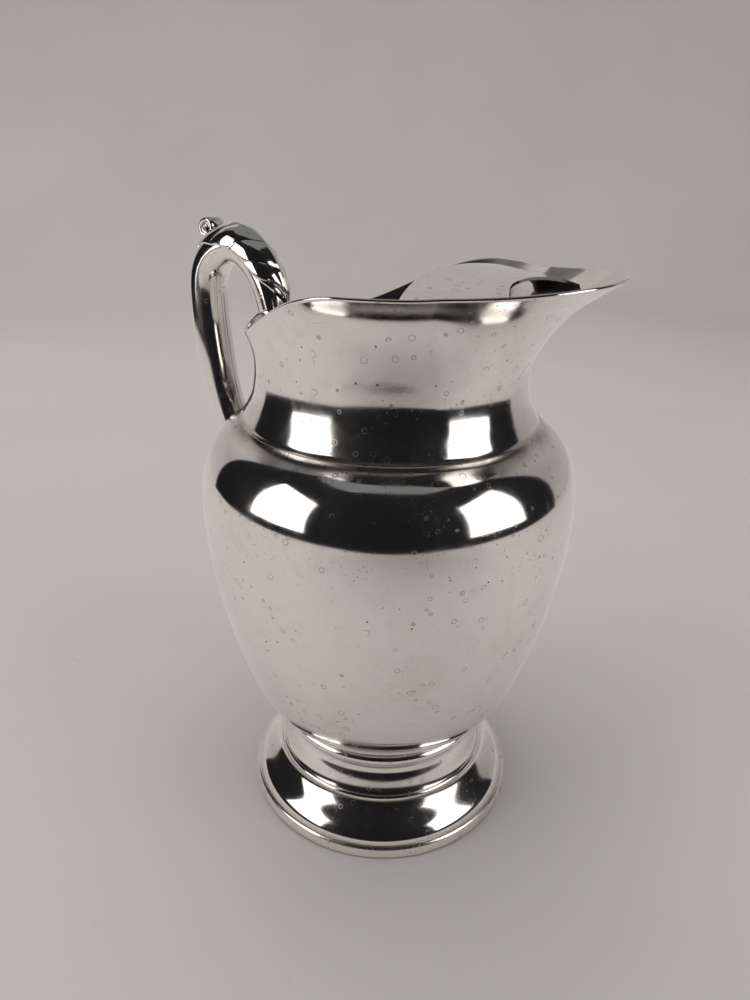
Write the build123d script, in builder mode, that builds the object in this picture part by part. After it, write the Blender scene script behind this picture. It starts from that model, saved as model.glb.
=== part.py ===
"""Silver-plated water pitcher with an ice guard, in millimetres.

Frame: the origin is the centre of the circle that the foot rests on. +Z is up, +X points to the
spout and -X to the handle. The pitcher is symmetric about the XZ plane.
"""

import os
from math import cos, pi, radians, sin

from build123d import *

# ---- driving dimensions -------------------------------------------------------------------
SHEET = 1.2  # wall of every spun and stamped piece

# foot
BASE_RADIUS = 57.9  # widest radius of the base ring
BASE_HEIGHT = 5.8
BASE_BORE = 52.0  # inner radius of the base ring
SKIRT_RADIUS = 56.2  # lower edge of the skirt, on the base ring
STEP_RADIUS = 45.3  # small spun step between waist and skirt
STEP_HEIGHT = 19.6
WAIST_RADIUS = 41.2  # narrowest part of the pedestal
WAIST_HEIGHT = 29.0
FLANGE_HEIGHT = 36.8  # top of the pedestal, under the bowl
FLANGE_BORE = 34.0
COLLAR_RADIUS = 42.4  # centre line of the ring between bowl and pedestal
COLLAR_HEIGHT = 38.3
COLLAR_WIRE = 2.2  # radius of that ring's round section

# body
BOTTOM_HEIGHT = 34.0  # underside of the bowl on the axis
BELLY_RADIUS = 72.4
BELLY_HEIGHT = 137.0
SEAM_RADIUS = 56.3  # shoulder-to-neck seam
SEAM_HEIGHT = 171.0

# neck, lip and spout
THROAT_RADIUS = 50.6  # narrowest part of the neck
THROAT_HEIGHT = 190.0
SPOUT_REACH = 80.5  # axis to the tip of the spout
SPOUT_SPREAD = 48.0  # degrees to each side over which the spout is drawn out
SPOUT_ROOT = 193.0  # height from which it is drawn out
LIP_TIP_HEIGHT = 226.6
LIP_SIDE_HEIGHT = 222.4
LIP_LOW_HEIGHT = 201.8
LIP_BACK_HEIGHT = 204.1

# ice guard: crown is its highest line, over the axis of symmetry; feet meet the neck's wall
GUARD_SHEET = 1.0
GUARD_CROWN_BACK = 20.2  # x of the rear edge at the crown
GUARD_CROWN_LENGTH = 27.0
GUARD_CROWN_HEIGHT = 226.4
GUARD_FOOT_BACK = 30.6  # x of the rear edge at the feet
GUARD_FOOT_LENGTH = 27.4
GUARD_FOOT_HEIGHT = 220.7
GUARD_WIDTH_BACK = 52.5  # half width of the rear edge, into the wall of the neck
GUARD_WIDTH_FRONT = 32.5

# handle: an oval tube, its centre line in the XZ plane
HANDLE_WIDTH = 16.5  # across the plane
HANDLE_DEPTH = 15.0  # in the plane
LEAF_RELIEF = 1.7  # how far the leaf stands off the tube
SCROLL_RADIUS = 4.3  # the leaf's curled tip, a knob for the thumb
SCROLL_CENTRE = (-85.0, 0.0, 233.6)

os.makedirs("parts", exist_ok=True)


def smooth(value, start, end):
    """Rise from 0 at start to 1 at end, level at both ends."""
    s = min(max((value - start) / (end - start), 0.0), 1.0)
    return s * s * (3 - 2 * s)


def keep(piece, name):
    """Label a finished piece and write its STEP file."""
    piece.part.label = name
    export_step(piece.part, f"parts/{name}.step")


# ---- bowl ---------------------------------------------------------------------------------
def bowl_outline():
    """Outer line of the bowl, from the axis under the bottom up to the rim of its collar."""
    bottom = Spline(
        (0, BOTTOM_HEIGHT),
        (27, BOTTOM_HEIGHT + 1.3),
        (43.5, 41.6),
        (55.2, 56),
        (61.6, 73),
        (68.6, 102),
        (BELLY_RADIUS, BELLY_HEIGHT),
        (66.8, 161.6),
        (60.4, 167.6),
        tangents=((1, 0), (-0.87, 0.49)),
    )
    cove = Spline(
        bottom @ 1, (SEAM_RADIUS, SEAM_HEIGHT), tangents=(bottom % 1, (-0.25, 1))
    )
    return bottom, cove


with BuildPart() as bowl_block:  # the bowl's outside as a solid, to trim its neighbours
    with BuildSketch(Plane.XZ) as bowl_block_sketch:
        with BuildLine() as bowl_block_line:
            bowl_outline()
            Polyline(
                (SEAM_RADIUS, SEAM_HEIGHT), (0, SEAM_HEIGHT), (0, BOTTOM_HEIGHT)
            )
        make_face()
    revolve(axis=Axis.Z)

with BuildPart() as body_shell:
    add(bowl_block.part)
    offset(amount=-SHEET, openings=body_shell.faces().sort_by(Axis.Z)[-1])
keep(body_shell, "body_shell")


# ---- foot ---------------------------------------------------------------------------------
with BuildPart() as foot_shell:
    with BuildSketch(Plane.XZ):
        with BuildLine():
            flange = Line((0, FLANGE_HEIGHT), (41.2, FLANGE_HEIGHT))
            roll = TangentArc(flange @ 1, (42.0, FLANGE_HEIGHT - 2.0), tangent=flange % 1)
            waist = Spline(
                roll @ 1,
                (WAIST_RADIUS, WAIST_HEIGHT),
                (43.7, STEP_HEIGHT + 1.2),
                tangents=(roll % 1, (0.55, -0.8)),
            )
            step = ThreePointArc(
                waist @ 1,
                (STEP_RADIUS, STEP_HEIGHT + 0.3),
                (STEP_RADIUS - 0.1, STEP_HEIGHT - 1.2),
            )
            skirt = Spline(
                step @ 1,
                (49.6, 13.6),
                (54.2, 9.8),
                (SKIRT_RADIUS, BASE_HEIGHT),
                tangents=((0.45, -1), (0.12, -1)),
            )
            Polyline(skirt @ 1, (0, BASE_HEIGHT), flange @ 0)
        make_face()
    revolve(axis=Axis.Z)
    offset(amount=-SHEET, openings=foot_shell.faces().sort_by(Axis.Z)[0])
    Cylinder(FLANGE_BORE, 4 * FLANGE_HEIGHT, mode=Mode.SUBTRACT)
    add(bowl_block.part, mode=Mode.SUBTRACT)
keep(foot_shell, "foot_shell")

with BuildPart() as foot_collar_ring:
    with BuildSketch(Plane.XZ):
        with Locations((COLLAR_RADIUS, COLLAR_HEIGHT)):
            Circle(COLLAR_WIRE)
    revolve(axis=Axis.Z)
    add(bowl_block.part, mode=Mode.SUBTRACT)
    add(foot_shell.part, mode=Mode.SUBTRACT)
keep(foot_collar_ring, "foot_collar_ring")

with BuildPart() as foot_base_ring:
    with BuildSketch(Plane.XZ):
        with BuildLine():
            rest = Line((BASE_BORE, 0), (BASE_RADIUS - 1.2, 0))
            bulge = Spline(
                rest @ 1,
                (BASE_RADIUS, 2.6),
                (SKIRT_RADIUS, BASE_HEIGHT),
                tangents=((1, 0.15), (-1, 0.25)),
            )
            Polyline(
                bulge @ 1, (SKIRT_RADIUS - 2.2, BASE_HEIGHT), (BASE_BORE, 3.2), rest @ 0
            )
        make_face()
    revolve(axis=Axis.Z)
keep(foot_base_ring, "foot_base_ring")


# ---- neck, lip and spout ------------------------------------------------------------------
with BuildLine() as neck_line:  # meridian of the spun neck, (radius, height) from the seam upwards
    Spline(
        (SEAM_RADIUS, SEAM_HEIGHT),
        (53.75, 175.75),
        (51.9, 180.0),
        (51.0, 184.6),
        (THROAT_RADIUS + 0.05, THROAT_HEIGHT - 1.5),
        (THROAT_RADIUS + 0.05, THROAT_HEIGHT + 2.0),
        (50.8, 198.0),
        (51.35, 203.0),
        (52.5, 208.0),
        (54.35, 213.0),
        (56.8, 217.5),
        (59.7, 221.3),
        (62.6, 224.4),
        (65.9, 227.4),
    )
neck_samples = [neck_line.edges()[0] @ (i / 600) for i in range(601)]


def flare_radius(height):
    """Outer radius of the spun neck at a height."""
    above = next(i for i, p in enumerate(neck_samples) if p.Y >= height - 1e-9)
    low, high = neck_samples[max(above - 1, 0)], neck_samples[max(above, 1)]
    return low.X + (high.X - low.X) * (height - low.Y) / (high.Y - low.Y)


def lip_height(angle):
    """Height of the lip: nearly level round the spout, then cut down to the handle."""
    tip = (LIP_TIP_HEIGHT - LIP_SIDE_HEIGHT) * (1 - smooth(angle, 0, radians(58)))
    fall = (LIP_SIDE_HEIGHT - LIP_LOW_HEIGHT) * smooth(angle, radians(75), radians(145))
    lift = (LIP_BACK_HEIGHT - LIP_LOW_HEIGHT) * smooth(angle, radians(138), radians(168))
    return LIP_SIDE_HEIGHT + tip - fall + lift


def neck_point(angle, along):
    """A point of the neck's outer face: along runs from 0 at the seam to 1 at the lip."""
    top = lip_height(angle)
    height = SEAM_HEIGHT + (top - SEAM_HEIGHT) * along
    aside = min(abs(angle) / radians(SPOUT_SPREAD), 1)
    drawn = (SPOUT_REACH - flare_radius(LIP_TIP_HEIGHT)) * (1 - aside**2.5) ** 1.5
    drawn *= max((height - SPOUT_ROOT) / (top - SPOUT_ROOT), 0) ** 1.5
    radius = flare_radius(height) + drawn
    return Vector(radius * cos(angle), radius * sin(angle), height)


def inner_neck_point(angle, along):
    """The point one wall inside neck_point, along the normal of the wall."""
    step = 1e-4
    around = neck_point(angle + step, along) - neck_point(angle - step, along)
    low, high = max(along - step, 0), min(along + step, 1)
    upward = neck_point(angle, high) - neck_point(angle, low)
    return neck_point(angle, along) + upward.cross(around).normalized() * SHEET


def half_skin(point, side, columns=31, rows=25):
    """One face of the neck on one side of the XZ plane, from the spout to the handle."""
    net = []
    for column in range(columns):
        line = [point(pi * column / (columns - 1), row / (rows - 1)) for row in range(rows)]
        across = side if 0 < column < columns - 1 else 0  # 0 puts a line on the XZ plane
        net.append([Vector(p.X, across * p.Y, p.Z) for p in line])
    return Face.make_surface_from_array_of_points(net, tol=0.01)


def neck_wall():
    """The neck's closed wall: outer and inner skin and the strips along seam and lip."""
    faces = []
    for side in (1, -1):
        skins = half_skin(neck_point, side), half_skin(inner_neck_point, side)
        outer_edges, inner_edges = (skin.edges().sort_by(Axis.Z) for skin in skins)
        faces += skins
        faces += [
            Face.make_surface_from_curves(outer_edges[end], inner_edges[end]) for end in (0, -1)
        ]
    return Solid(Shell(faces))


with BuildPart() as neck_collar:
    add(neck_wall())
    add(bowl_block.part, mode=Mode.SUBTRACT)
    with BuildSketch(Plane.XZ):  # the turned lower edge that laps the shoulder
        with BuildLine():
            Polyline(
                (SEAM_RADIUS + 0.6, SEAM_HEIGHT),
                (SEAM_RADIUS - 0.9, SEAM_HEIGHT),
                (SEAM_RADIUS - 0.9, SEAM_HEIGHT + 1.5),
                (SEAM_RADIUS + 0.2, SEAM_HEIGHT + 1.5),
            )
            ThreePointArc(
                (SEAM_RADIUS + 0.2, SEAM_HEIGHT + 1.5),
                (SEAM_RADIUS + 0.8, SEAM_HEIGHT + 0.7),
                (SEAM_RADIUS + 0.6, SEAM_HEIGHT),
            )
        make_face()
    revolve(axis=Axis.Z)
keep(neck_collar, "neck_collar")


# ---- ice guard ----------------------------------------------------------------------------
def guard_point(forward, across):
    """A point of the hood: forward 0..1 from rear to front edge, across -1..1 over the mouth."""
    half_width = GUARD_WIDTH_BACK + (GUARD_WIDTH_FRONT - GUARD_WIDTH_BACK) * forward**1.4
    crown_x = GUARD_CROWN_BACK + GUARD_CROWN_LENGTH * forward
    foot_x = GUARD_FOOT_BACK + GUARD_FOOT_LENGTH * forward
    crown = GUARD_CROWN_HEIGHT - 3.3 * forward + 1.4 * forward**2
    foot = GUARD_FOOT_HEIGHT - forward
    arch = 1 - abs(across) ** (2.2 + 0.7 * forward)
    return Vector(
        crown_x + (foot_x - crown_x) * across**2, half_width * across, foot + (crown - foot) * arch
    )


with BuildPart() as guard_blank:  # the hood with its feet run into the wall of the neck
    hood = Face.make_surface_from_array_of_points(
        [[guard_point(i / 10, j / 10) for j in range(-10, 11)] for i in range(11)], tol=0.01
    )
    thicken(hood, amount=-GUARD_SHEET)
    add(neck_collar.part, mode=Mode.SUBTRACT)

with BuildPart() as ice_guard:  # trimmed to the inside of the neck
    add(guard_blank.part.solids().sort_by(SortBy.VOLUME)[-1])
keep(ice_guard, "ice_guard")


# ---- handle -------------------------------------------------------------------------------
with BuildLine(Plane.XZ) as handle_line:  # from the lip up, over the crown and down to the bowl
    Spline(
        (-52.0, 197.0),
        (-54.6, 206.0),
        (-58.4, 216.4),
        (-72.5, 227.0),
        (-86.4, 218.5),
        (-89.0, 205.0),
        (-87.3, 184.0),
        (-82.6, 161.5),
        (-77.5, 150.0),
        (-67.0, 137.5),
    )
handle_path = handle_line.edges()[0]
LEAF_END = 0.36  # where the leaf stops, as a share of the handle's length


def handle_scale(along):
    """Size of the tube's section along the handle: slimmer towards both ends."""
    return 0.88 + 0.12 * smooth(along, 0, 0.35) - 0.16 * smooth(along, 0.6, 1)


def handle_plane(along):
    """Section plane: local x across the handle, local -y to the outside of the loop."""
    return Plane(origin=handle_path @ along, x_dir=(0, 1, 0), z_dir=handle_path % along)


def tube_section(along, growth=0.0):
    """Oval of the tube at a place along the handle, grown all round."""
    scale = handle_scale(along)
    return Ellipse(HANDLE_WIDTH / 2 * scale + growth, HANDLE_DEPTH / 2 * scale + growth)


with BuildPart() as tube_block:  # the handle's outside as a solid
    for i in range(9):
        with BuildSketch(handle_plane(i / 8)):
            tube_section(i / 8)
    sweep(path=handle_path, multisection=True)

with BuildPart() as mouth_block:  # the space inside the neck at the back, to the middle of its wall
    with BuildSketch(Plane.XZ):
        with BuildLine():
            back = Spline(
                *[
                    (-neck_point(pi, row / 8).X - SHEET / 2, neck_point(pi, row / 8).Z)
                    for row in range(9)
                ]
            )
            Polyline(
                back @ 1,
                (back @ 1 + (0, 0.6)),
                (0, LIP_BACK_HEIGHT + 0.6),
                (0, SEAM_HEIGHT),
                back @ 0,
            )
        make_face()
    revolve(axis=Axis.Z)


def handle_half(side):
    """One stamped half: half of the oval tube, cut to fit the lip and the bowl."""
    with BuildPart() as half:
        for i in range(9):
            with BuildSketch(handle_plane(i / 8)):
                tube_section(i / 8)
                scale = handle_scale(i / 8)
                Ellipse(
                    HANDLE_WIDTH / 2 * scale - SHEET,
                    HANDLE_DEPTH / 2 * scale - SHEET,
                    mode=Mode.SUBTRACT,
                )
                Rectangle(
                    HANDLE_WIDTH,
                    2 * HANDLE_DEPTH,
                    align=(Align.MAX if side > 0 else Align.MIN, Align.CENTER),
                    mode=Mode.SUBTRACT,
                )
        sweep(path=handle_path, multisection=True)
        for trim in (bowl_block, mouth_block, neck_collar):
            add(trim.part, mode=Mode.SUBTRACT)
    return half


for side, name in ((1, "handle_left"), (-1, "handle_right")):
    keep(handle_half(side), name)

with BuildPart() as handle_leaf:
    for i in range(7):
        along = LEAF_END * i / 6
        scale = handle_scale(along)
        with BuildSketch(handle_plane(along)):
            Ellipse(HANDLE_WIDTH / 2 * scale + 0.9, HANDLE_DEPTH / 2 * scale + LEAF_RELIEF)
            Ellipse(HANDLE_WIDTH / 2 * scale - 0.1, HANDLE_DEPTH / 2 * scale - 0.1, mode=Mode.SUBTRACT)
            with Locations((0, 0.5)):
                Rectangle(
                    2 * HANDLE_WIDTH,
                    2 * HANDLE_DEPTH,
                    align=(Align.CENTER, Align.MIN),
                    mode=Mode.SUBTRACT,
                )
    loft()
    with Locations(SCROLL_CENTRE):
        Sphere(SCROLL_RADIUS)
    for trim in (tube_block, bowl_block, mouth_block, neck_collar):
        add(trim.part, mode=Mode.SUBTRACT)
keep(handle_leaf, "handle_leaf")
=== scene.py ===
"""Silver-plated water pitcher with an ice guard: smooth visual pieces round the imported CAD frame.

Lengths in this file are in millimetres until a mesh is made, when mesh_piece scales them to metres.
+Z is up, +X points to the spout and -X to the handle, and the foot stands on z = 0.
"""

from math import cos, pi, radians, sin

import bpy
import numpy as np
from mathutils import Matrix, Vector


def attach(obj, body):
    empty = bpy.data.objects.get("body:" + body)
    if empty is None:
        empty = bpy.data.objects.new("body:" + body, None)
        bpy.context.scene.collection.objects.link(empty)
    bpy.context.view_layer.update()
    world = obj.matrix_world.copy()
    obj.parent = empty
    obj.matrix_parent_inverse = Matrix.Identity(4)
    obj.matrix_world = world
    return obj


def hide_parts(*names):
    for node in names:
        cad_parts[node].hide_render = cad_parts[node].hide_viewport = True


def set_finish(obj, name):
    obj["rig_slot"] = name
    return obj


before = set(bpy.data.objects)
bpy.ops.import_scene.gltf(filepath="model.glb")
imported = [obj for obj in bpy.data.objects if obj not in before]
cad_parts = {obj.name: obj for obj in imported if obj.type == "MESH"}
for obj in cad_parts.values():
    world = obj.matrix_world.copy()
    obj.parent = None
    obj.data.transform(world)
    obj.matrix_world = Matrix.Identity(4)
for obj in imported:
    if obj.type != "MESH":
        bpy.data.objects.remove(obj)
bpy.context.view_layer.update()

MM = 0.001
SHEET = 1.2  # wall of the spun and stamped pieces
AROUND = 288  # columns round a turned piece

# ---- driving dimensions, as the CAD has them ------------------------------------------------
BOTTOM_HEIGHT = 34.0
BELLY_RADIUS = 72.4
BELLY_HEIGHT = 137.0
SEAM_RADIUS = 56.3
SEAM_HEIGHT = 171.0
THROAT_RADIUS = 50.6
THROAT_HEIGHT = 190.0
SPOUT_REACH = 80.5
SPOUT_SPREAD = 48.0  # degrees to each side
SPOUT_ROOT = 193.0  # height from which it is drawn out
BACK_FLARE = 2.3  # how much further the lip turns out at the back
LIP_TIP_HEIGHT = 226.6
LIP_SIDE_HEIGHT = 222.4
LIP_LOW_HEIGHT = 201.8
LIP_BACK_HEIGHT = 204.1


# ---- curves and meshes ----------------------------------------------------------------------
def smooth(value, start, end):
    """Rise from 0 at start to 1 at end, level at both ends."""
    s = np.clip((value - start) / (end - start), 0.0, 1.0)
    return s * s * (3 - 2 * s)


def spline(points, count, start=None, end=None):
    """Cubic spline with continuous curvature through the points, as count points evenly spread.
    start and end are directions at the two ends; without one the end is free."""
    points = np.array(points, float)
    chord = np.linalg.norm(np.diff(points, axis=0), axis=1)
    knots = np.concatenate(([0.0], np.cumsum(chord)))
    size = len(points)
    matrix, right = np.zeros((size, size)), np.zeros(points.shape)
    for i in range(1, size - 1):
        a, b = chord[i - 1], chord[i]
        matrix[i, i - 1 : i + 2] = b, 2 * (a + b), a
        right[i] = 3 * (b * (points[i] - points[i - 1]) / a + a * (points[i + 1] - points[i]) / b)
    for row, way, near, far in ((0, start, 0, 1), (-1, end, -1, -2)):
        if way is None:
            matrix[row, near], matrix[row, far] = 2, 1
            right[row] = 3 * (points[far] - points[near]) / chord[near]
            if row == -1:
                right[row] = -right[row]
        else:
            matrix[row, near] = 1
            right[row] = np.array(way, float) / np.linalg.norm(way)
    slopes = np.linalg.solve(matrix, right)
    fine = np.linspace(0, knots[-1], 40 * size)
    span = np.clip(np.searchsorted(knots, fine, side="right") - 1, 0, size - 2)
    h = chord[span][:, None]
    t = ((fine - knots[span])[:, None]) / h
    line = (
        (2 * t**3 - 3 * t**2 + 1) * points[span]
        + (t**3 - 2 * t**2 + t) * h * slopes[span]
        + (3 * t**2 - 2 * t**3) * points[span + 1]
        + (t**3 - t**2) * h * slopes[span + 1]
    )
    length = np.concatenate(([0.0], np.cumsum(np.linalg.norm(np.diff(line, axis=0), axis=1))))
    even = np.linspace(0, length[-1], count)
    return np.stack([np.interp(even, length, line[:, k]) for k in range(points.shape[1])], axis=1)


def beside(line, distance):
    """The 2-D line moved to its left by distance, point by point."""
    way = np.gradient(line, axis=0)
    way /= np.linalg.norm(way, axis=1)[:, None]
    return line + distance * np.stack([-way[:, 1], way[:, 0]], axis=1)


def arc(centre, radius, first, last, count):
    """Points of a circle's arc between two angles in degrees."""
    angles = np.radians(np.linspace(first, last, count))
    x, y = centre
    return np.stack([x + radius * np.cos(angles), y + radius * np.sin(angles)], axis=1)


def mesh_piece(name, points, faces, node=None, slot=None, crease=35):
    """A mesh object from points in millimetres; it rides on the root and may replace a CAD node."""
    mesh = bpy.data.meshes.new(name)
    mesh.from_pydata([tuple(p) for p in np.asarray(points) * MM], [], faces)
    mesh.update()
    mesh.shade_smooth()
    mesh.set_sharp_from_angle(angle=radians(crease))
    piece = bpy.data.objects.new(name, mesh)
    bpy.context.scene.collection.objects.link(piece)
    if node:
        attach(piece, "root")
        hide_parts(node)
        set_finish(piece, slot)
    return piece


def loop_faces(rows, columns, close_rows=True, close_columns=True):
    """Quads of a net of points, numbered row by row."""
    faces = []
    for i in range(rows if close_rows else rows - 1):
        for j in range(columns if close_columns else columns - 1):
            here, above = i * columns, ((i + 1) % rows) * columns
            after = (j + 1) % columns
            faces.append((here + j, here + after, above + after, above + j))
    return faces


def rod_faces(rows, columns):
    """Faces of a net that closes round, with both ends capped."""
    last = (rows - 1) * columns
    ends = [tuple(range(columns - 1, -1, -1)), tuple(range(last, last + columns))]
    return loop_faces(rows, columns, close_rows=False) + ends


def rings(outline, count):
    """The outline's (radius, height) points turned about the axis, ring by ring."""
    angles = np.linspace(0, 2 * pi, count, endpoint=False)
    x, y = np.cos(angles), np.sin(angles)
    return np.concatenate([np.stack([r * x, r * y, np.full(count, z)], axis=1) for r, z in outline])


def turned(outline, node, slot):
    """A turned piece: a closed outline of (radius, height) points, run anticlockwise, revolved."""
    faces = loop_faces(len(outline), AROUND)
    return mesh_piece(node + "_visual", rings(outline, AROUND), faces, node, slot)


def backwards(faces):
    return [tuple(reversed(face)) for face in faces]


def net_shares(rows, columns):
    """Shares of a net's points: 0..1 from row to row and -1..1 from column to column."""
    return np.meshgrid(np.linspace(0, 1, rows), np.linspace(-1, 1, columns), indexing="ij")


# ---- bowl -----------------------------------------------------------------------------------
def bowl_line():
    """Outer line of the bowl from the bottom's middle up to the seam."""
    wall = spline(
        [
            (1.0, BOTTOM_HEIGHT),
            (27, BOTTOM_HEIGHT + 1.3),
            (43.5, 41.6),
            (55.2, 56),
            (61.6, 73),
            (68.6, 102),
            (BELLY_RADIUS, BELLY_HEIGHT),
            (66.8, 161.6),
            (60.4, 167.6),
        ],
        190,
        start=(1, 0),
        end=(-0.87, 0.49),
    )
    seam = (SEAM_RADIUS, SEAM_HEIGHT)
    cove = spline([wall[-1], seam], 14, start=(-0.87, 0.49), end=(-0.25, 1))
    return np.concatenate([wall, cove[1:]])


def make_body_shell():
    outer = bowl_line()
    inner = beside(outer, SHEET)
    return turned(np.concatenate([outer, inner[::-1]]), "body_shell", "bowl_silver")


# ---- foot -----------------------------------------------------------------------------------
BASE_RADIUS = 57.9
BASE_HEIGHT = 5.8
BASE_BORE = 52.0
SKIRT_RADIUS = 56.2
STEP_RADIUS = 45.3
STEP_HEIGHT = 19.6
WAIST_HEIGHT = 29.0
FLANGE_HEIGHT = 36.8
FLANGE_BORE = 34.0
COLLAR_RADIUS = 42.4  # to the middle of the wire
COLLAR_HEIGHT = 38.3
COLLAR_WIRE = 2.2  # radius of its section


def pedestal_line():
    """Outer line of the pedestal, from the flange under the bowl out and down to the base ring."""
    waist = spline(
        [
            (41.2, FLANGE_HEIGHT),
            (42.0, FLANGE_HEIGHT - 1.6),
            (40.0, WAIST_HEIGHT + 2.6),
            (41.3, WAIST_HEIGHT - 2.2),
            (44.0, STEP_HEIGHT + 1.2),
        ],
        60,
        start=(1, 0),
        end=(0.55, -0.8),
    )
    step = spline(
        [waist[-1], (STEP_RADIUS, STEP_HEIGHT + 0.3), (STEP_RADIUS - 0.1, STEP_HEIGHT - 1.2)],
        12,
        start=(0.8, 0.3),
        end=(-0.3, -1),
    )
    skirt = spline(
        [step[-1], (49.6, 13.6), (54.2, 9.8), (SKIRT_RADIUS, BASE_HEIGHT)],
        50,
        start=(0.45, -1),
        end=(0.12, -1),
    )
    return np.concatenate([[(FLANGE_BORE, FLANGE_HEIGHT)], waist, step[1:], skirt[1:]])


def make_foot_shell():
    outer = pedestal_line()[::-1]
    inner = beside(outer, SHEET)
    inner = inner[inner[:, 1] < FLANGE_HEIGHT - SHEET + 0.01]
    return turned(np.concatenate([outer, inner[::-1]]), "foot_shell", "foot_silver")


def make_foot_collar_ring():
    section = arc((COLLAR_RADIUS, COLLAR_HEIGHT), COLLAR_WIRE, -180, 180, 29)[:-1]
    return turned(section, "foot_collar_ring", "ring_silver")


def make_foot_base_ring():
    bulge = spline(
        [(BASE_RADIUS - 1.2, 0), (BASE_RADIUS, 2.6), (SKIRT_RADIUS, BASE_HEIGHT)],
        24,
        start=(1, 0.15),
        end=(-1, 0.25),
    )
    inside = [
        (SKIRT_RADIUS - 2.2, BASE_HEIGHT),
        (BASE_BORE, 3.2),
        (BASE_BORE, 0.3),
        (BASE_BORE + 0.3, 0),
    ]
    return turned(np.concatenate([bulge, inside]), "foot_base_ring", "base_silver")


# ---- neck, lip and spout --------------------------------------------------------------------
NECK_BEAD = 0.55  # height and half width of the turned lower edge
NECK_LINE = spline(  # meridian of the spun neck
    [
        (SEAM_RADIUS, SEAM_HEIGHT),
        (53.75, 175.75),
        (51.9, 180.0),
        (51.0, 184.6),
        (THROAT_RADIUS + 0.05, THROAT_HEIGHT - 1.5),
        (THROAT_RADIUS + 0.05, THROAT_HEIGHT + 2.0),
        (50.7, 198.0),
        (51.1, 203.0),
        (52.0, 208.0),
        (53.7, 213.0),
        (56.4, 217.5),
        (59.7, 221.3),
        (62.6, 224.4),
        (65.9, 227.4),
    ],
    1200,
)


def flare_radius(height):
    """Outer radius of the spun neck at a height."""
    return np.interp(height, NECK_LINE[:, 1], NECK_LINE[:, 0])


def lip_height(angle):
    """Height of the lip: nearly level round the spout, then cut down to the handle."""
    tip = (LIP_TIP_HEIGHT - LIP_SIDE_HEIGHT) * (1 - smooth(angle, 0, radians(58)))
    fall = (LIP_SIDE_HEIGHT - LIP_LOW_HEIGHT) * smooth(angle, radians(75), radians(145))
    lift = (LIP_BACK_HEIGHT - LIP_LOW_HEIGHT) * smooth(angle, radians(138), radians(168))
    return LIP_SIDE_HEIGHT + tip - fall + lift


def neck_points(angle, along):
    """Outer face of the neck: angle -pi..pi from the spout, along 0 at the seam to 1 at the lip."""
    side = np.abs(angle)
    top = lip_height(side)
    height = SEAM_HEIGHT + (top - SEAM_HEIGHT) * along
    aside = np.minimum(side / radians(SPOUT_SPREAD), 1)
    risen = np.clip((height - SPOUT_ROOT) / (top - SPOUT_ROOT), 0, 1)
    drawn = (SPOUT_REACH - flare_radius(LIP_TIP_HEIGHT)) * (1 - aside**2.5) ** 1.5 * risen**1.1
    flared = BACK_FLARE * smooth(side, radians(95), radians(140)) * risen**1.5
    bead = NECK_BEAD * np.exp(-(((height - SEAM_HEIGHT - 0.6) / NECK_BEAD) ** 2))
    radius = flare_radius(height) + (drawn + flared) + bead
    return np.stack([radius * np.cos(angle), radius * np.sin(angle), height], axis=-1)


def neck_normals(angle, along):
    """Outward normals of the neck's outer face."""
    step = 1e-4
    around = neck_points(angle + step, along) - neck_points(angle - step, along)
    higher, lower = np.minimum(along + step, 1), np.maximum(along - step, 0)
    normal = np.cross(around, neck_points(angle, higher) - neck_points(angle, lower))
    return normal / np.linalg.norm(normal, axis=-1)[..., None]


def make_neck_collar():
    columns, rows, bead = 360, 110, 8
    angles = np.linspace(-pi, pi, columns, endpoint=False)
    along, angle = np.meshgrid(np.linspace(0, 1, rows), angles, indexing="ij")
    skin = neck_points(angle, along)
    normal = neck_normals(angle, along)
    inner = skin - normal * SHEET
    lip, lip_normal = skin[-1], normal[-1]
    rising = skin[-1] - skin[-2]
    rising /= np.linalg.norm(rising, axis=-1)[:, None]
    middle = lip - lip_normal * SHEET / 2
    edge = [
        middle + SHEET / 2 * (cos(t) * lip_normal + sin(t) * rising)
        for t in np.linspace(0, pi, bead)[1:-1]
    ]
    net = np.concatenate([skin, np.array(edge), inner[::-1]])
    faces = loop_faces(len(net), columns)
    return mesh_piece(
        "neck_collar_visual", net.reshape(-1, 3), faces, "neck_collar", "neck_silver"
    )


# ---- ice guard ------------------------------------------------------------------------------
GUARD_SHEET = 1.0
GUARD_CROWN_BACK = 20.2
GUARD_CROWN_LENGTH = 27.0
GUARD_CROWN_HEIGHT = 226.4
GUARD_FOOT_BACK = 30.6
GUARD_FOOT_LENGTH = 27.4
GUARD_FOOT_HEIGHT = 220.7
GUARD_WIDTH_BACK = 52.5
GUARD_WIDTH_FRONT = 32.5


def guard_points(forward, across):
    """Top of the hood: forward 0..1 from rear to front edge, across -1..1 over the mouth."""
    half_width = GUARD_WIDTH_BACK + (GUARD_WIDTH_FRONT - GUARD_WIDTH_BACK) * forward**1.4
    crown_x = GUARD_CROWN_BACK + GUARD_CROWN_LENGTH * forward
    foot_x = GUARD_FOOT_BACK + GUARD_FOOT_LENGTH * forward
    crown = GUARD_CROWN_HEIGHT - 3.3 * forward + 1.4 * forward**2
    foot = GUARD_FOOT_HEIGHT - forward
    arch = 1 - np.abs(across) ** (2.2 + 0.7 * forward)
    x = crown_x + (foot_x - crown_x) * across**2
    points = np.stack([x, half_width * across, foot + (crown - foot) * arch], axis=-1)
    return stay_inside(points)


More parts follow.
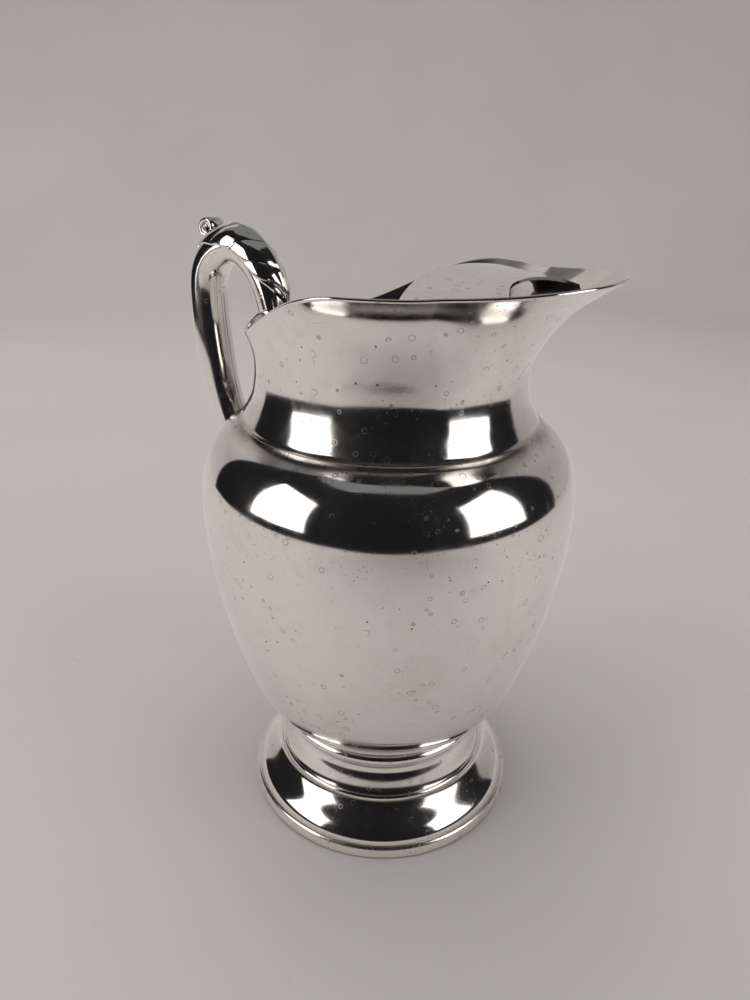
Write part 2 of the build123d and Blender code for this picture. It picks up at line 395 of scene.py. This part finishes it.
def stay_inside(points):
    """Points that would come through the neck's wall end in the middle of it."""
    angle = np.arctan2(points[..., 1], points[..., 0])
    top = lip_height(np.abs(angle))
    along = (np.minimum(points[..., 2], top) - SEAM_HEIGHT) / (top - SEAM_HEIGHT)
    wall = neck_points(angle, along) - neck_normals(angle, along) * SHEET / 2
    radius = np.hypot(points[..., 0], points[..., 1])
    scale = np.minimum(np.hypot(wall[..., 0], wall[..., 1]) / radius, 1)
    scale = np.where(points[..., 2] < top + 1, scale, 1)
    return points * np.stack([scale, scale, np.ones_like(scale)], axis=-1)


def make_ice_guard():
    rows, columns = 50, 120
    forward, across = net_shares(rows, columns)
    top = guard_points(forward, across)
    normal = np.cross(np.gradient(top, axis=0), np.gradient(top, axis=1))
    normal /= np.linalg.norm(normal, axis=-1)[..., None]
    under = top - GUARD_SHEET * normal
    count = rows * columns
    points = np.concatenate([top.reshape(-1, 3), under.reshape(-1, 3)])
    upper = loop_faces(rows, columns, False, False)
    faces = upper + [tuple(count + k for k in face) for face in backwards(upper)]
    border = (
        [j for j in range(columns)]
        + [i * columns + columns - 1 for i in range(1, rows)]
        + [(rows - 1) * columns + j for j in range(columns - 2, -1, -1)]
        + [i * columns for i in range(rows - 2, 0, -1)]
    )
    for a, b in zip(border, border[1:] + border[:1]):
        faces.append((b, a, count + a, count + b))
    return mesh_piece("ice_guard_visual", points, faces, "ice_guard", "guard_silver")


# ---- handle ---------------------------------------------------------------------------------
HANDLE_WIDTH = 16.5
HANDLE_DEPTH = 15.0
GROOVE_DEPTH = 0.12  # of the line where the halves meet
GROOVE_TURN = 0.05  # its half width, in radians round the tube
SOLDER_THICKNESS = 0.9
SOLDER_REACH = 2.6  # how far from the bowl the fillet runs out
HANDLE_ROUTE = spline(
    [
        (-52.0, 197.0),
        (-54.6, 206.0),
        (-58.4, 216.4),
        (-72.5, 227.0),
        (-86.4, 218.5),
        (-89.0, 205.0),
        (-87.3, 184.0),
        (-82.6, 161.5),
        (-77.5, 150.0),
        (-67.0, 137.5),
    ],
    241,
)


def handle_scale(along):
    """Size of the tube's section along the handle: slimmer towards both ends."""
    return 0.88 + 0.12 * smooth(along, 0, 0.35) - 0.16 * smooth(along, 0.6, 1)


def handle_net(along, turn, grow=0.0):
    """Points of the tube's surface, moved outwards by grow. turn is 0 on the outside of the loop
    and grows towards +Y."""
    place = along * (len(HANDLE_ROUTE) - 1)
    index = np.arange(len(HANDLE_ROUTE))
    way = np.gradient(HANDLE_ROUTE, axis=0)
    x, z = (np.interp(place, index, HANDLE_ROUTE[:, k]) for k in (0, 1))
    dx, dz = (np.interp(place, index, way[:, k]) for k in (0, 1))
    size = np.hypot(dx, dz)
    out_x, out_z = dz / size, -dx / size  # points to the outside of the loop
    scale = handle_scale(along)
    width, depth = HANDLE_WIDTH / 2 * scale + grow, HANDLE_DEPTH / 2 * scale + grow
    reach = depth * np.cos(turn)
    return np.stack([x + reach * out_x, width * np.sin(turn), z + reach * out_z], axis=-1)


def wall_gap(points):
    """How far outside the bowl or the neck points lie, level with them."""
    height = points[..., 2]
    bowl = bowl_line()
    wall = np.where(
        height < SEAM_HEIGHT, np.interp(height, bowl[:, 1], bowl[:, 0]), flare_radius(height)
    )
    return np.hypot(points[..., 0], points[..., 1]) - wall


def settle(points):
    """Points that would come through the wall of the bowl or the neck end in the middle of it."""
    height = points[..., 2]
    inside = np.maximum(-SHEET / 2 - wall_gap(points), 0) * (height < LIP_BACK_HEIGHT)
    scale = 1 + inside / np.hypot(points[..., 0], points[..., 1])
    return points * np.stack([scale, scale, np.ones_like(scale)], axis=-1)


def make_handle_half(side, name):
    """One stamped half of the hollow handle, with a fine groove where the halves meet and a fillet
    of solder where its lower leg meets the bowl."""
    rows, columns = 421, 49
    along, turn = np.meshgrid(np.linspace(0, 1, rows), np.linspace(0, pi, columns), indexing="ij")
    edges = np.exp(-((turn / GROOVE_TURN) ** 2)) + np.exp(-(((pi - turn) / GROOVE_TURN) ** 2))
    groove = -GROOVE_DEPTH * edges
    gap = wall_gap(handle_net(along, side * turn))
    solder = SOLDER_THICKNESS * np.clip(1 - gap / SOLDER_REACH, 0, 1) ** 2 * (along > 0.5)
    outer = settle(handle_net(along, side * turn, groove + solder))
    inner = settle(handle_net(along, side * turn, -SHEET))
    net = np.concatenate([outer, inner[:, ::-1]], axis=1)
    around = net.shape[1]
    faces = loop_faces(rows, around, close_rows=False)
    caps = []
    for row in (0, rows - 1):
        for j in range(columns - 1):
            first, last = row * around + j, row * around + around - 1 - j
            cap = (first, last, last - 1, first + 1)
            caps.append(cap if row == 0 else (first, first + 1, last - 1, last))
    faces += caps
    if side > 0:
        faces = backwards(faces)
    return mesh_piece(name + "_visual", net.reshape(-1, 3), faces, name, "handle_silver")


# ---- leaf -----------------------------------------------------------------------------------
LEAF_TIP = 0.055  # where the leaf starts, as a share of the handle's length
LEAF_END = 0.36  # and where it stops
LEAF_LOBES = 5
LEAF_WRAP = 1.75  # radians that it reaches to each side of the handle's outside
LEAF_SUNK = 0.35  # how deep its underside lies in the handle
CURL_CENTRE = (-84.6, 232.9)
CURL_TURN = (-135, -135 - 560)  # degrees where the roll starts and ends
CURL_RADIUS = (3.65, 0.7)


def leaf_net(rows, columns):
    """Top and underside of the leaf that lies over the outside of the handle, tip at the lip."""
    length, across = net_shares(rows, columns)
    side = np.abs(across)
    lobe = LEAF_LOBES * length + 0.15
    notch = 1 - 0.10 * np.abs(np.cos(pi * lobe)) ** 3 * (0.3 + 0.7 * length)
    half_angle = LEAF_WRAP * smooth(length, -0.12, 0.42) * (1 - 0.45 * smooth(length, 0.72, 1))
    turn = half_angle * notch * across
    slant = np.abs(np.sin(pi * (lobe + 0.5 - 0.95 * side)))
    dome = slant**0.7 * np.clip(4 * side * (1.02 - side), 0, 1) ** 0.6
    midrib = np.exp(-((across / 0.11) ** 2))
    lift = 0.35 + 0.62 * dome + 0.7 * midrib
    lift = lift * smooth(length, -0.02, 0.12)
    lift = np.where(side > 0.93, lift * (1 - side) / 0.07, lift)
    relief = lift * (0.62 + 0.38 * np.cos(turn))
    along = LEAF_TIP + (LEAF_END - LEAF_TIP) * length
    return handle_net(along, turn, relief), handle_net(along, turn, -LEAF_SUNK)


def curl_ribbon():
    """The leaf's base, rolled up into a thumb knob: a ribbon that thins towards its middle."""
    x, z = CURL_CENTRE
    rising, rolling = 12, 90  # points along the rise and along the roll
    rise = spline([(-73.0, 233.0), (-78.4, 231.6), (-82.4, 229.6)], rising)
    turns = np.radians(np.linspace(*CURL_TURN, rolling))
    radius = np.linspace(*CURL_RADIUS, rolling)
    roll = np.stack([x - radius * np.cos(turns + pi), z + radius * np.sin(turns)], axis=1)
    line = np.concatenate([rise, roll])
    thick = np.concatenate([np.linspace(1.0, 1.25, rising), np.linspace(1.25, 1.1, rolling)])
    wide = np.concatenate([np.linspace(2.6, 3.9, rising), np.linspace(4.0, 4.6, rolling)])
    way = np.gradient(line, axis=0)
    way /= np.linalg.norm(way, axis=1)[:, None]
    section = np.linspace(0, 2 * pi, 28, endpoint=False)
    flat, up = np.cos(section), np.sin(section)
    flat, up = np.sign(flat) * np.abs(flat) ** 0.6, np.sign(up) * np.abs(up) ** 0.8
    return np.stack(
        [
            line[:, None, 0] - way[:, None, 1] * up * thick[:, None],
            wide[:, None] * flat * np.ones_like(up),
            line[:, None, 1] + way[:, None, 0] * up * thick[:, None],
        ],
        axis=-1,
    )


def make_handle_leaf():
    rows, columns = 260, 121
    top, under = leaf_net(rows, columns)
    net = np.concatenate([top, under[:, ::-1]], axis=1)
    ribbon = curl_ribbon()
    start = net.shape[0] * net.shape[1]
    faces = backwards(rod_faces(*net.shape[:2]))
    faces += [tuple(start + k for k in face) for face in rod_faces(*ribbon.shape[:2])]
    points = np.concatenate([net.reshape(-1, 3), ribbon.reshape(-1, 3)])
    return mesh_piece("handle_leaf_visual", points, faces, "handle_leaf", "leaf_silver", crease=50)


# ---- materials ------------------------------------------------------------------------------
SILVER = (0.80, 0.775, 0.745)
HAZE_COLOR = (0.66, 0.615, 0.565)
DROP_COLOR = (0.33, 0.295, 0.265)
TARNISH_COLOR = (0.17, 0.125, 0.085)
SPECK_COLOR = (0.09, 0.075, 0.065)
SCRATCH_COLOR = (0.42, 0.40, 0.38)
SCRATCH_TURNS = ((0.3, 0.8, 0.2), (1.2, -0.5, 0.9), (-0.7, 0.4, 2.1))


def node(tree, kind, values=None, **settings):
    """A shader node; a value that is a socket is linked, any other is set."""
    made = tree.nodes.new("ShaderNode" + kind)
    for key, value in settings.items():
        setattr(made, key, value)
    for key, value in (values or {}).items():
        if isinstance(value, bpy.types.NodeSocket):
            tree.links.new(value, made.inputs[key])
        else:
            made.inputs[key].default_value = value
    return made


def sums(tree, operation, *values):
    return node(tree, "Math", dict(enumerate(values)), operation=operation).outputs[0]


def distance_from(tree, value, level):
    return sums(tree, "ABSOLUTE", sums(tree, "SUBTRACT", value, level))


def mix(tree, amount, color, other):
    """The colour, turned to the other one by amount."""
    values = {"Factor": amount, "A": color, "B": (*other, 1)}
    made = node(tree, "Mix", values, data_type="RGBA")
    return next(out for out in made.outputs if out.type == "RGBA")


def ramp(tree, value, low, high, start=0.0, end=1.0):
    """Smooth rise from start to end as value goes from low to high."""
    values = {"Value": value, "From Min": low, "From Max": high, "To Min": start, "To Max": end}
    return node(tree, "MapRange", values, interpolation_type="SMOOTHSTEP").outputs["Result"]


def noise(tree, place, scale, detail=3.0, rough=0.55, distort=0.0):
    values = {"Vector": place, "Scale": scale, "Detail": detail}
    values |= {"Roughness": rough, "Distortion": distort}
    return node(tree, "TexNoise", values).outputs["Fac"]


def scratches(tree, place, turn, width):
    """Long fine lines one way: where a drawn-out noise crosses its middle value."""
    values = {"Vector": place, "Rotation": turn, "Scale": (1.0, 9.0, 9.0)}
    drawn = node(tree, "Mapping", values).outputs["Vector"]
    line = ramp(tree, distance_from(tree, noise(tree, drawn, 14.0, 0.0), 0.5), 0.0, width, 1.0, 0.0)
    return sums(tree, "MULTIPLY", line, ramp(tree, noise(tree, place, 48.0, 1.0), 0.55, 0.66))


def cells(tree, place, scale):
    """Scattered points: the distance to the nearest one, and two chances that belong to it."""
    made = node(tree, "TexVoronoi", {"Vector": place, "Scale": scale})
    pick = node(tree, "SeparateColor", {"Color": made.outputs["Color"]})
    return made.outputs["Distance"], pick.outputs[0], pick.outputs[1]


def dots(tree, place, scale, full, edge, strength, share):
    """Dots round a share of the scattered points: full strength within full, none beyond edge."""
    distance, chance, _ = cells(tree, place, scale)
    dot = ramp(tree, distance, full, edge, strength, 0.0)
    return sums(tree, "MULTIPLY", dot, sums(tree, "LESS_THAN", chance, share))


def bump(tree, height, distance, normal=None):
    values = {"Height": height, "Strength": 1.0, "Distance": distance}
    if normal is not None:
        values["Normal"] = normal
    return node(tree, "Bump", values).outputs[0]


def silver(name, haze=0.5, marks=0.5, seams=(), grooves=0.0, base=0.045, tone=SILVER):
    """Silver plate that has been used: haze, dried drops, specks, scratches, tarnish in the seams.

    seams are (height, reach, strength), the lengths in metres; grooves darkens the hollows of a
    chased surface; base is the roughness of the clean metal.
    """
    material = bpy.data.materials.new(name)
    material.use_nodes = True
    tree = material.node_tree
    shader = tree.nodes["Principled BSDF"]
    shader.inputs["Metallic"].default_value = 1.0
    place = node(tree, "TexCoord").outputs["Object"]
    height = node(tree, "SeparateXYZ", {"Vector": place}).outputs["Z"]

    cloud = ramp(tree, noise(tree, place, 24.0, 6.0, 0.62, 0.4), 0.42, 0.72)
    mottle = noise(tree, place, 150.0, 5.0, 0.65)
    film = sums(tree, "MULTIPLY", cloud, haze)

    distance, chance, size = cells(tree, place, 235.0)
    crowd = ramp(tree, noise(tree, place, 26.0, 2.0), 0.38, 0.62, 0.03, 0.95 * marks)
    radius = sums(tree, "MULTIPLY_ADD", size, 0.16, 0.13)
    rim = ramp(tree, distance_from(tree, distance, radius), 0.015, 0.055, 1.0, 0.0)
    drops = sums(tree, "MULTIPLY", rim, sums(tree, "LESS_THAN", chance, crowd))

    specks = dots(tree, place, 330.0, 0.06, 0.17, 1.0, 0.3 * marks)
    specks = sums(tree, "MULTIPLY", specks, ramp(tree, noise(tree, place, 17.0, 2.0), 0.46, 0.6))
    grain = dots(tree, place, 780.0, 0.1, 0.3, 0.7, 0.35 * marks)
    grain = sums(tree, "MULTIPLY", grain, ramp(tree, noise(tree, place, 30.0, 3.0), 0.46, 0.64))
    specks = sums(tree, "MAXIMUM", specks, grain)

    lines = scratches(tree, place, SCRATCH_TURNS[0], 0.004)
    for turn in SCRATCH_TURNS[1:]:
        lines = sums(tree, "MAXIMUM", lines, scratches(tree, place, turn, 0.004))
    wiped = {"Vector": place, "Rotation": (0.5, 0.2, 0.7), "Scale": (1.0, 14.0, 14.0)}
    swirl = node(tree, "Mapping", wiped).outputs["Vector"]
    swirl = noise(tree, swirl, 120.0, 3.0, 0.6, 1.6)

    tarnish = ramp(tree, mottle, 0.5, 0.75, 0.0, 0.10 * haze)
    for level, reach, strength in seams:
        near = ramp(tree, distance_from(tree, height, level), 0.0, reach, strength, 0.0)
        patchy = ramp(tree, noise(tree, place, 60.0, 3.0), 0.3, 0.6, 0.35, 1.0)
        tarnish = sums(tree, "MAXIMUM", tarnish, sums(tree, "MULTIPLY", near, patchy))
    if grooves:
        hollow = node(tree, "NewGeometry").outputs["Pointiness"]
        tarnish = sums(tree, "MAXIMUM", tarnish, ramp(tree, hollow, 0.40, 0.495, grooves, 0.0))

    color = (*tone, 1)
    for amount, other in (
        (sums(tree, "MULTIPLY", film, 0.45), HAZE_COLOR),
        (sums(tree, "MULTIPLY", drops, 0.62), DROP_COLOR),
        (tarnish, TARNISH_COLOR),
        (specks, SPECK_COLOR),
        (sums(tree, "MULTIPLY", lines, 0.4), SCRATCH_COLOR),
    ):
        color = mix(tree, amount, color, other)
    tree.links.new(color, shader.inputs["Base Color"])

    rough = base
    for amount, share in (
        (film, 0.13),
        (mottle, 0.035),
        (swirl, 0.03),
        (drops, 0.16),
        (specks, 0.3),
        (lines, 0.06),
        (tarnish, 0.25),
    ):
        rough = sums(tree, "MULTIPLY_ADD", amount, share, rough)
    tree.links.new(rough, shader.inputs["Roughness"])

    pits = sums(tree, "MULTIPLY_ADD", lines, 0.15, specks)
    relief = sums(tree, "SUBTRACT", sums(tree, "MULTIPLY", drops, 0.3), pits)
    normal = bump(tree, noise(tree, place, 38.0, 1.0), 0.00012)
    normal = bump(tree, swirl, 0.0000035, normal)
    tree.links.new(bump(tree, relief, 0.00001, normal), shader.inputs["Normal"])
    return material


def plain(name, color, roughness=0.9):
    material = bpy.data.materials.new(name)
    material.use_nodes = True
    shader = material.node_tree.nodes["Principled BSDF"]
    shader.inputs["Base Color"].default_value = (*color, 1)
    shader.inputs["Roughness"].default_value = roughness
    shader.inputs["Specular IOR Level"].default_value = 0.2
    return material


# ---- studio ---------------------------------------------------------------------------------
CAMERA_AZIMUTH = 30.0  # degrees from -Y towards +X
CAMERA_DISTANCE = 273.1  # horizontal, from the pitcher's axis
CAMERA_HEIGHT = 259.2
CAMERA_PITCH = 24.60
CAMERA_YAW = 1.09
CAMERA_ROLL = 1.23
CAMERA_LENS = 26.885  # millimetres on a 36 mm sensor
PAPER = (0.40, 0.385, 0.37)
# painted light: the paper that only the silver sees is paler than PAPER, so it looks more brightly
# lit in reflections
PAPER_PAINTED_BRIGHTER_IN_SILVER = (0.50, 0.487, 0.478)
# colour of the scuffs, and of the painted shadow on the paper copy
SCUFF_AND_SHADOW_COLOR = (0.06, 0.06, 0.07)
FLOOR_RADIUS = 1300.0
FLOOR_BEND = 700.0
STUDIO_HEIGHT = 2400.0
SHADE_CENTRE = (120, 560, 0)  # centre of the painted shadow on the paper copy that the silver reflects, as of a person standing in front
SHADE_STRENGTH = 0.42
# the dark room: a near-black sheet round the front, seen only in the silver, that paints the shade
# of the room round the set
ROOM_SHADE_REACH = 950.0
ROOM_SHADE_BEARINGS = (-118, 108)  # degrees from straight in front, positive to the right
SOFTBOX_STRENGTH = 2.2
WARM_WHITE = (1.0, 0.98, 0.96)
LAMPS = (  # name, place, aim, size, power, colour
    ("overhead", (-350, -150, 2150), (-60, 0, 0), (2600, 2600), 43.0, (1.0, 0.975, 0.95)),
    ("back_light", (-300, -500, 1500), (-300, -1900, 500), (1200, 700), 9.0, WARM_WHITE),
    ("side_light", (-900, 500, 900), (0, 0, 110), (700, 900), 5.0, WARM_WHITE),
    ("side_light", (900, 500, 900), (0, 0, 110), (700, 900), 5.0, WARM_WHITE),
)


def studio_point(right, front, height):
    """The point that lies so far right of the pitcher's axis, and so far towards the camera."""
    a = radians(CAMERA_AZIMUTH)
    return np.array(
        [right * cos(a) + front * sin(a), right * sin(a) - front * cos(a), height], float
    )


def make_camera():
    a, yaw, pitch, roll = np.radians([CAMERA_AZIMUTH, CAMERA_YAW, CAMERA_PITCH, CAMERA_ROLL])
    right, ahead, up = Vector((cos(a), sin(a), 0)), Vector((-sin(a), cos(a), 0)), Vector((0, 0, 1))
    right, ahead = cos(yaw) * right + sin(yaw) * ahead, cos(yaw) * ahead - sin(yaw) * right
    ahead, up = cos(pitch) * ahead - sin(pitch) * up, sin(pitch) * ahead + cos(pitch) * up
    right, up = cos(roll) * right + sin(roll) * up, cos(roll) * up - sin(roll) * right
    camera = bpy.data.objects.new("camera", bpy.data.cameras.new("camera"))
    bpy.context.scene.collection.objects.link(camera)
    camera.data.lens = CAMERA_LENS
    camera.data.sensor_width = 36.0
    camera.data.clip_start = 0.01
    turn = Matrix((right, up, -ahead)).transposed().to_4x4()
    place = studio_point(0, CAMERA_DISTANCE, CAMERA_HEIGHT) * MM
    camera.matrix_world = Matrix.Translation(place) @ turn
    bpy.context.scene.camera = camera


def paper(name, albedo, shade=0.0):
    """Pale paper with faint scuffs; shade is the strength of a painted shadow that darkens it round
    SHADE_CENTRE.
    """
    material = plain(name, albedo)
    tree = material.node_tree
    shader = tree.nodes["Principled BSDF"]
    place = node(tree, "TexCoord").outputs["Object"]
    blotch = noise(tree, place, 3.0, 5.0)
    scuff = sums(tree, "MULTIPLY", scratches(tree, place, (0.0, 0.0, 0.6), 0.003), 0.12)
    scuffs_and_painted_shadow = sums(tree, "ADD", ramp(tree, blotch, 0.3, 0.7, 0.0, 0.05), scuff)
    # painted shadow: the paper's colour darkens round SHADE_CENTRE, as if a person in front shaded
    # it
    if shade:
        values = {0: place, 1: tuple(studio_point(*SHADE_CENTRE) * MM)}
        away = node(tree, "VectorMath", values, operation="DISTANCE").outputs["Value"]
        scuffs_and_painted_shadow = sums(tree, "MAXIMUM", scuffs_and_painted_shadow, ramp(tree, away, 0.05, 0.6, shade, 0.0))
    color = mix(tree, scuffs_and_painted_shadow, (*albedo, 1), SCUFF_AND_SHADOW_COLOR)
    tree.links.new(color, shader.inputs["Base Color"])
    return material


def glow(name, color, strength):
    material = bpy.data.materials.new(name)
    material.use_nodes = True
    shader = material.node_tree.nodes["Principled BSDF"]
    shader.inputs["Base Color"].default_value = (0, 0, 0, 1)
    shader.inputs["Emission Color"].default_value = (*color, 1)
    shader.inputs["Emission Strength"].default_value = strength
    return material


def only_in_reflections(thing):
    thing.visible_camera = False
    thing.visible_diffuse = False
    thing.visible_shadow = False


def sweep(name, outline, material):
    """The studio's floor and wall: the outline turned about the axis, with its middle closed."""
    columns = 96
    faces = loop_faces(len(outline), columns, close_rows=False)
    faces.append(tuple(range(columns - 1, -1, -1)))
    made = mesh_piece(name, rings(outline, columns), faces, crease=60)
    made.data.materials.append(material)
    return made


def card(name, corners, material):
    made = mesh_piece(name, [studio_point(*c) for c in corners], [(0, 1, 3, 2)])
    made.data.materials.append(material)
    only_in_reflections(made)


def soft_light(name, place, aim, size, power, color):
    lamp_data = bpy.data.lights.new(name, "AREA")
    lamp_data.shape = "RECTANGLE"
    lamp_data.size, lamp_data.size_y = (v * MM for v in size)
    lamp_data.energy = power
    lamp_data.color = color
    lamp = bpy.data.objects.new(name, lamp_data)
    bpy.context.scene.collection.objects.link(lamp)
    place, aim = (Vector(studio_point(*p) * MM) for p in (place, aim))
    lamp.location = place
    lamp.rotation_euler = (aim - place).to_track_quat("-Z", "Y").to_euler()
    lamp.visible_camera = False
    lamp.visible_glossy = False


def make_studio():
    """Paper floor that turns up into a wall all round, with soft light from above, behind and both
    sides. The silver mirrors its own copy of the paper, painted paler and with a painted shadow, a
    dark room whose near-black colour is painted shade, a dark card, and two softboxes."""
    outline = [(r, -0.05) for r in np.linspace(2, FLOOR_RADIUS, 30)]
    outline += list(arc((FLOOR_RADIUS, FLOOR_BEND), FLOOR_BEND, -90, 0, 20)[1:])
    outline += [(FLOOR_RADIUS + FLOOR_BEND, STUDIO_HEIGHT)]
    studio = sweep("studio", outline, paper("studio_paper", PAPER))
    studio.visible_glossy = False
    inside = [(r - 0.6, z + 0.6) for r, z in outline]  # within the paper, so that light reaches it
    # painted light: the silver sees a paler copy of the paper, with a painted shadow round
    # SHADE_CENTRE
    paper_for_silver_lit_and_shaded = paper("studio_paper_painted_lit_and_shaded", PAPER_PAINTED_BRIGHTER_IN_SILVER, SHADE_STRENGTH)
    only_in_reflections(sweep("studio_in_silver", inside, paper_for_silver_lit_and_shaded))

    # near-black, for the dark card and for the dark room; on the dark room it is painted shade
    dark = plain("dark_cloth_and_painted_room_shade", (0.012, 0.012, 0.014))
    bearings = np.radians(np.linspace(*ROOM_SHADE_BEARINGS, 60))
    room_shade = [
        studio_point(ROOM_SHADE_REACH * sin(b), ROOM_SHADE_REACH * cos(b), z)
        for z in (0.5, 2300)
        for b in bearings
    ]
    room_shade = mesh_piece("dark_room", room_shade, loop_faces(2, len(bearings), False, False))
    room_shade.data.materials.append(dark)
    only_in_reflections(room_shade)
    card("dark_card", [(x, 480, z) for z in (70, 1500) for x in (-345, 345)], dark)
    for side in (-1, 1):
        box = [(side * 560, y, z) for z in (130, 690) for y in (110, 560)]
        card("softbox", box, glow("softbox_glow", (1.0, 0.985, 0.97), SOFTBOX_STRENGTH))
    for lamp in LAMPS:
        soft_light(*lamp)

    world = bpy.data.worlds.new("world")
    bpy.context.scene.world = world
    world.use_nodes = True
    background = world.node_tree.nodes["Background"]
    background.inputs["Color"].default_value = (0.95, 0.97, 1.0, 1)
    background.inputs["Strength"].default_value = 0.22


# ---- assembly -------------------------------------------------------------------------------
pieces = [
    make_body_shell(),
    make_foot_shell(),
    make_foot_collar_ring(),
    make_foot_base_ring(),
    make_neck_collar(),
    make_ice_guard(),
    make_handle_half(1, "handle_left"),
    make_handle_half(-1, "handle_right"),
    make_handle_leaf(),
]
wear = {
    "bowl_silver": {
        "haze": 0.9,
        "marks": 1.0,
        "seams": [(0.1702, 0.0035, 0.75), (0.0405, 0.003, 0.6)],
    },
    "neck_silver": {"haze": 1.0, "marks": 0.45, "seams": [(0.1712, 0.0022, 0.6)]},
    "guard_silver": {"haze": 0.9, "marks": 0.8, "seams": [(0.2185, 0.0035, 0.35)]},
    "handle_silver": {"haze": 0.45, "marks": 0.3, "seams": [(0.136, 0.004, 0.3)]},
    "leaf_silver": {"haze": 0.4, "marks": 0.3, "grooves": 0.85},
    "foot_silver": {
        "haze": 0.6,
        "marks": 0.5,
        "seams": [(0.0185, 0.0016, 0.55), (0.0055, 0.0015, 0.4)],
    },
    "ring_silver": {"haze": 0.5, "marks": 0.3, "seams": [(0.0362, 0.0012, 0.5)]},
    "base_silver": {
        "haze": 1.2,
        "marks": 0.8,
        # a darker band along the bottom edge, where the ring stands on the floor
        "seams": [(0.0002, 0.0012, 0.3)],
        "base": 0.16,
        "tone": (0.80, 0.765, 0.70),
    },
}
plates = {name: silver(name, **settings) for name, settings in wear.items()}
for piece in pieces:
    piece.data.materials.append(plates[piece["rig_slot"]])

make_camera()
make_studio()
bpy.context.scene.view_settings.view_transform = "Standard"
